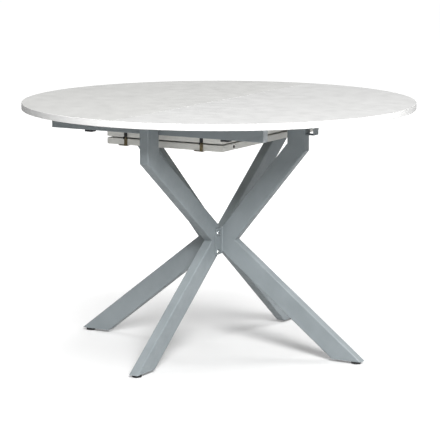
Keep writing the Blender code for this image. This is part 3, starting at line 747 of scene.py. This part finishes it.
# %% Glides
NOTCHES = 16
NOTCH_LOW = 2.2 * MM
NOTCH_OUTSIDE = 0.4 * MM
NOTCH_RADIUS = 1.4 * MM
for leg_name in LEGS:
    node = f"glide_{leg_name}"
    low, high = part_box(node)
    centre = (low + high) / 2
    radius = (high.x - low.x) / 2
    rim_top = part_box(f"lower_leg_{leg_name}")[0].z - JOINT
    bm = bmesh.new()
    profile = (
        (0, 0.4 * MM),
        (radius * 0.55, 0.4 * MM),
        (radius * 0.62, 0),
        (radius - 1.6 * MM, 0),
        (radius - 0.5 * MM, 0.5 * MM),
        (radius, 1.7 * MM),
        (radius, rim_top - 1.0 * MM),
        (radius - 0.8 * MM, rim_top),
        (SHANK_RADIUS, rim_top),
    )
    stud = thread(rim_top, high.z - 0.5 * MM, SHANK_RADIUS)
    stud_end = ((SHANK_RADIUS * 0.7, high.z), (0, high.z))
    turned(bm, [*profile, *stud, *stud_end], (centre.x, centre.y, 0), steps=48)
    foot = piece(f"glide_foot_{leg_name}", bm, black_nylon, node, (node,))
    cutters = []
    for number in range(NOTCHES):
        angle = 2 * math.pi * number / NOTCHES
        x = centre.x + (radius + NOTCH_OUTSIDE) * math.cos(angle)
        y = centre.y + (radius + NOTCH_OUTSIDE) * math.sin(angle)
        cutters.append(((x, y, NOTCH_LOW), (x, y, rim_top + 1 * MM), NOTCH_RADIUS))
    holes(foot, cutters)
print("glides", len(pieces["glide_foot_front"].data.polygons))

# %% [markdown]
# ## Rail caps and clips
#
# The rails are open tubes, so each end has a moulded cap that hides the saw cut. It is a lid with a soft
# rim, and two ribs behind it that grip the tube's inside. Under each rail, beside each cross bar, a
# black clip holds the slide's fixing screw. The front and rear posts stand beside the rails, and their
# open tops show when the halves are apart, so a plug lies just below each mouth. All of them are boxes
# with rounded edges, bevelled in one step.

# %% Rail caps and clips
CAP_PROUD = 1.8 * MM
CAP_ROUND = 0.9 * MM
CAP_INSET = 0.1 * MM
AIR = 0.05 * MM
PLUG_DEPTH = 12 * MM
PLUG_PLAY = 0.2 * MM
RIB = 1.4 * MM
TUBE_WALL = 2.0 * MM
CLIP_X = (0.219, 0.246)
CLIP_DROP = 5.5 * MM
CLIP_INSET = 1.5 * MM
CLIP_ROUND = 1.6 * MM

for end_name, end in ENDS.items():
    low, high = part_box(f"side_rail_{end_name}")
    for side_name, side in SIDES.items():
        bm = bmesh.new()
        mouth = side * high.x
        lid = sorted((mouth + side * AIR, mouth + side * CAP_PROUD))
        lid_low = (lid[0], low.y + CAP_INSET, low.z + CAP_INSET)
        lid_high = (lid[1], high.y - CAP_INSET, high.z - CAP_INSET)
        block(bm, lid_low, lid_high, CAP_ROUND, 3)
        plug = sorted((mouth, mouth - side * PLUG_DEPTH))
        skin = TUBE_WALL + PLUG_PLAY
        inner_low = (low.y + skin, low.z + skin)
        inner_high = (high.y - skin, high.z - skin)
        block(bm, (plug[0], inner_low[0], inner_low[1]), (plug[1], inner_low[0] + RIB, inner_high[1]))
        block(bm, (plug[0], inner_high[0] - RIB, inner_low[1]), (plug[1], inner_high[0], inner_high[1]))
        piece(f"rail_cap_{end_name}_{side_name}", bm, grey_nylon, "base")
        bm = bmesh.new()
        xs = sorted(side * x for x in CLIP_X)
        under = low.z - JOINT
        clip_low = (xs[0], low.y + CLIP_INSET, under - CLIP_DROP)
        block(bm, clip_low, (xs[1], high.y - CLIP_INSET, under), CLIP_ROUND, 3)
        clip_middle = (sum(xs) / 2, (low.y + high.y) / 2, under - CLIP_DROP)
        piece(f"rail_clip_{end_name}_{side_name}", bm, black_nylon, "base")
        bm = bmesh.new()
        pan_head(bm, clip_middle, (0, 0, -1), radius=3.6 * MM, height=1.6 * MM, sunk=2 * MM)
        piece(f"clip_screw_{end_name}_{side_name}", bm, zinc, "base")
    low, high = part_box(f"post_{end_name}")
    bm = bmesh.new()
    plug_low = (low.x + skin, low.y + skin, high.z - PLUG_DEPTH)
    plug_high = (high.x - skin, high.y - skin, high.z - CAP_PROUD)
    block(bm, plug_low, plug_high, CAP_ROUND, 3)
    piece(f"post_plug_{end_name}", bm, grey_nylon, "base")

# %% [markdown]
# ## Screws
#
# Screws are what tells a real mechanism from a model of one. They sit in rows along the runners, the
# leaf's carrier strips and the hinges, each row as one piece, because nobody moves one screw alone. A
# pan head is one turned profile with a hexagon-sized socket in it, and a loop sets the row out.


# %% Screw rows
def screw_row(name, places, axis, body, radius=3.2 * MM, height=1.9 * MM):
    bm = bmesh.new()
    for place in places:
        pan_head(bm, place, axis, radius, height)
    return piece(name, bm, zinc, body)


RISER_FLANGE = 4.0 * MM
FLANGE_INSET = 6.0 * MM
INBOARD_SCREWS = (12 * MM, 28 * MM)
OUTBOARD_SCREW = 10 * MM
for side_name, side in SIDES.items():
    for end_name, end in ENDS.items():
        low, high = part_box(f"runner_{end_name}_{side_name}")
        outer_y = max(low.y * end, high.y * end)
        flange_z = high.z - RISER_FLANGE
        inboard, outboard = (low.x, high.x) if side == 1 else (high.x, low.x)
        rows = [inboard + side * x for x in INBOARD_SCREWS]
        rows.append(outboard - side * OUTBOARD_SCREW)
        places = [(x, end * (outer_y - FLANGE_INSET), flange_z) for x in rows]
        screw_row(f"runner_screws_{end_name}_{side_name}", places, (0, 0, -1), f"top_{side_name}", 2.8 * MM)

STRIP_TOP = 3.0 * MM
STRIP_ASIDE = 6.3 * MM
STRIP_END = 12 * MM
STRIP_SCREWS = 5
for side_name, side in SIDES.items():
    low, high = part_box(f"carrier_arm_{side_name}")
    middle = (low.x + high.x) / 2
    gap = (high.y - low.y - 2 * STRIP_END) / (STRIP_SCREWS - 1)
    places = []
    for step in range(STRIP_SCREWS):
        shift = STRIP_ASIDE if step % 2 else -STRIP_ASIDE
        places.append((middle + shift, low.y + STRIP_END + gap * step, low.z + STRIP_TOP))
    screw_row(f"carrier_screws_{side_name}", places, (0, 0, 1), "leaf_upper", 2.9 * MM, 1.7 * MM)

# %% [markdown]
# ## Fold hinges
#
# Each fold hinge is a pair of stamped leaves: a plate on the board's face, a strap round its edge, and
# a knuckle on the fold line, black on the upper board and brass on the lower one. Screws hold the
# plates, and the pin's ends are riveted over into small domes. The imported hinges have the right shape,
# so they stay, and these pieces finish them.

# %% Hinge screws and rivets
HINGE_SCREWS = ((0.28, 10 * MM), (0.72, 26 * MM))
RIVET_DOME = (
    (0, 0.9 * MM),
    (1.2 * MM, 0.75 * MM),
    (2.1 * MM, 0.3 * MM),
    (2.3 * MM, -0.4 * MM),
    (0, -0.4 * MM),
)

for side_name in SIDES:
    for level_name, facing in (("upper", 1), ("lower", -1)):
        low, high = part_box(f"hinge_{level_name}_{side_name}")
        outside = high.z if facing == 1 else low.z
        plate_face = outside - facing * 0.3 * MM
        places = [(low.x + (high.x - low.x) * x, high.y - y, plate_face) for x, y in HINGE_SCREWS]
        body = f"leaf_{level_name}"
        screw_row(f"hinge_screws_{level_name}_{side_name}", places, (0, 0, facing), body, 2.9 * MM, 1.2 * MM)
    low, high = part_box(f"hinge_pin_{side_name}")
    middle = (low + high) / 2
    bm = bmesh.new()
    for x, outward in ((low.x, -1), (high.x, 1)):
        turned(bm, RIVET_DOME, (x, middle.y, middle.z), (outward, 0, 0), steps=16)
    piece(f"hinge_rivets_{side_name}", bm, brass, "leaf_upper")

# %% [markdown]
# ## Drop bolts, guides and shaft collars
#
# A drop bolt is a turned steel bar with a chamfered nose, pulled by a knurled knob on a thin stem. Its
# guide is moulded nylon with an ear on each side for a screw. On the leaf's shaft a split collar stops
# each carrier arm from sliding. All of them are turned or bevelled boxes; the knurl is a ring of fine
# ridges, spun with every other step drawn in a little.

# %% Drop bolts and collars
KNURLS = 28
KNURL_DEPTH = 0.35 * MM
KNOB_LENGTH = 8.0 * MM
KNOB_DROP = 7.0 * MM
KNOB = (
    (0, 0),
    (3.4 * MM, 0),
    (5.0 * MM, 0.9 * MM),
    (5.0 * MM, KNOB_LENGTH - 1.2 * MM),
    (3.8 * MM, KNOB_LENGTH),
    (0, KNOB_LENGTH),
)
NOSE_CHAMFER = 1.4 * MM
STEM_RADIUS = 2.2 * MM
EAR = 6.5 * MM
EAR_HEIGHT = 3.0 * MM
EAR_INSET = 4 * MM
COLLAR_X = 201 * MM
COLLAR_RADIUS = 10.5 * MM
COLLAR_WIDTH = 6.0 * MM
COLLAR_CHAMFER = 0.8 * MM
BRACKET_WALL = 5.0 * MM
BRACKET_BOLT_Y = 8.5 * MM
BRACKET_BOLT_Z = 7.5 * MM

for side_name, side in SIDES.items():
    outward = (side, 0, 0)
    low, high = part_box(f"lock_bolt_{side_name}")
    guide_low, guide_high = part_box(f"bolt_housing_{side_name}")
    axis_x = (guide_low.x + guide_high.x) / 2
    knob_z = high.z - KNOB_DROP
    bm = bmesh.new()
    length = high.z - low.z
    nose = ((0, 0), (SHANK_RADIUS - NOSE_CHAMFER, 0), (SHANK_RADIUS, NOSE_CHAMFER))
    turned(bm, [*nose, (SHANK_RADIUS, length), (0, length)], (axis_x, 0, low.z))
    tip = high.x if side == 1 else low.x
    stem_length = abs(tip - axis_x) - KNOB_LENGTH / 2
    stem = ((0, 0), (STEM_RADIUS, 0), (STEM_RADIUS, stem_length), (0, stem_length))
    turned(bm, stem, (axis_x, 0, knob_z), outward)
    before = set(bm.verts)
    knob_start = tip - side * KNOB_LENGTH
    turned(bm, KNOB, (knob_start, 0, knob_z), outward, steps=KNURLS * 2)
    for vert in set(bm.verts) - before:
        arm = Vector((0, vert.co.y, vert.co.z - knob_z))
        turn = round(math.atan2(arm.z, arm.y) / (math.pi / KNURLS))
        if arm.length > 4.5 * MM and turn % 2:
            vert.co -= arm.normalized() * KNURL_DEPTH
    node = f"lock_bolt_{side_name}"
    piece(f"drop_bolt_{side_name}", bm, bright_steel, node, (node,))

    bm = bmesh.new()
    ear_low = (guide_low.x + EAR_INSET, guide_low.y - EAR, guide_high.z - EAR_HEIGHT)
    ear_high = (guide_high.x - EAR_INSET, guide_high.y + EAR, guide_high.z - AIR)
    block(bm, ear_low, ear_high, 1.2 * MM, 3)
    piece(f"guide_ears_{side_name}", bm, black_nylon, f"top_{side_name}")
    places = [(axis_x, y, ear_low[2]) for y in (guide_low.y - EAR / 2, guide_high.y + EAR / 2)]
    screw_row(f"guide_screws_{side_name}", places, (0, 0, -1), f"top_{side_name}", 2.6 * MM, 1.5 * MM)

    shaft_low, shaft_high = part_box("pivot_shaft")
    shaft_radius = (shaft_high.z - shaft_low.z) / 2
    centre = (side * COLLAR_X, shaft_low.y + shaft_radius, (shaft_low.z + shaft_high.z) / 2)
    bore = shaft_radius + 0.1 * MM
    ring = (
        (bore, 0),
        (COLLAR_RADIUS - COLLAR_CHAMFER, 0),
        (COLLAR_RADIUS, COLLAR_CHAMFER),
        (COLLAR_RADIUS, COLLAR_WIDTH - COLLAR_CHAMFER),
        (COLLAR_RADIUS - COLLAR_CHAMFER, COLLAR_WIDTH),
        (bore, COLLAR_WIDTH),
    )
    bm = bmesh.new()
    turned(bm, (*ring, ring[0]), centre, outward)
    piece(f"shaft_collar_{side_name}", bm, bright_steel, "leaf_upper")

    bracket_low, bracket_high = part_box(f"shaft_bracket_{side_name}")
    bar_low, bar_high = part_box(f"cross_bar_{side_name}")
    bar_face = bar_low.x if side == 1 else bar_high.x
    face = bar_face - side * (JOINT + BRACKET_WALL)
    bm = bmesh.new()
    for y in (bracket_low.y + BRACKET_BOLT_Y, bracket_high.y - BRACKET_BOLT_Y):
        place = Vector((face, y, bracket_high.z - BRACKET_BOLT_Z))
        hexagon(bm, place, (-side, 0, 0), radius=5.2 * MM, height=3.6 * MM)
    piece(f"bracket_bolts_{side_name}", bm, zinc, "base")
print("pieces", len(pieces))

# %% [markdown]
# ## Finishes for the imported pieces
#
# The tubes, rails, slides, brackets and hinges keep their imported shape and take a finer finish. A table
# from the start of a name to a finish covers all of them, and a check at the end shows that none is
# left bare.

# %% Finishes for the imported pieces
FINISHES = {
    ("lower_leg", "upper_arm", "post", "hub_flange", "side_rail", "cross_bar", "bolt_keeper"): grey_coat,
    ("slide_channel", "runner", "shaft_bracket", "carrier_arm", "foot_plate"): strip_zinc,
    ("pivot_shaft", "seam_pin", "lock_bolt"): bright_steel,
    ("hub_bolt",): zinc,
    ("hinge_upper",): black_enamel,
    ("hinge_lower", "hinge_pin"): brass,
    ("glide", "bolt_housing"): black_nylon,
    ("top_half_right",): top_right_white,
    # The left half keeps the white that is drawn darker as painted shade.
    ("top_half_left",): top_left_painted_shade,
    ("leaf_board",): leaf_white,
}
finished = 0
for starts, coat in FINISHES.items():
    for name, node in nodes.items():
        if name.startswith(starts):
            node.material_slots[0].material = coat
            finished += 1
print("packed pieces finished", finished, "of", len(nodes))
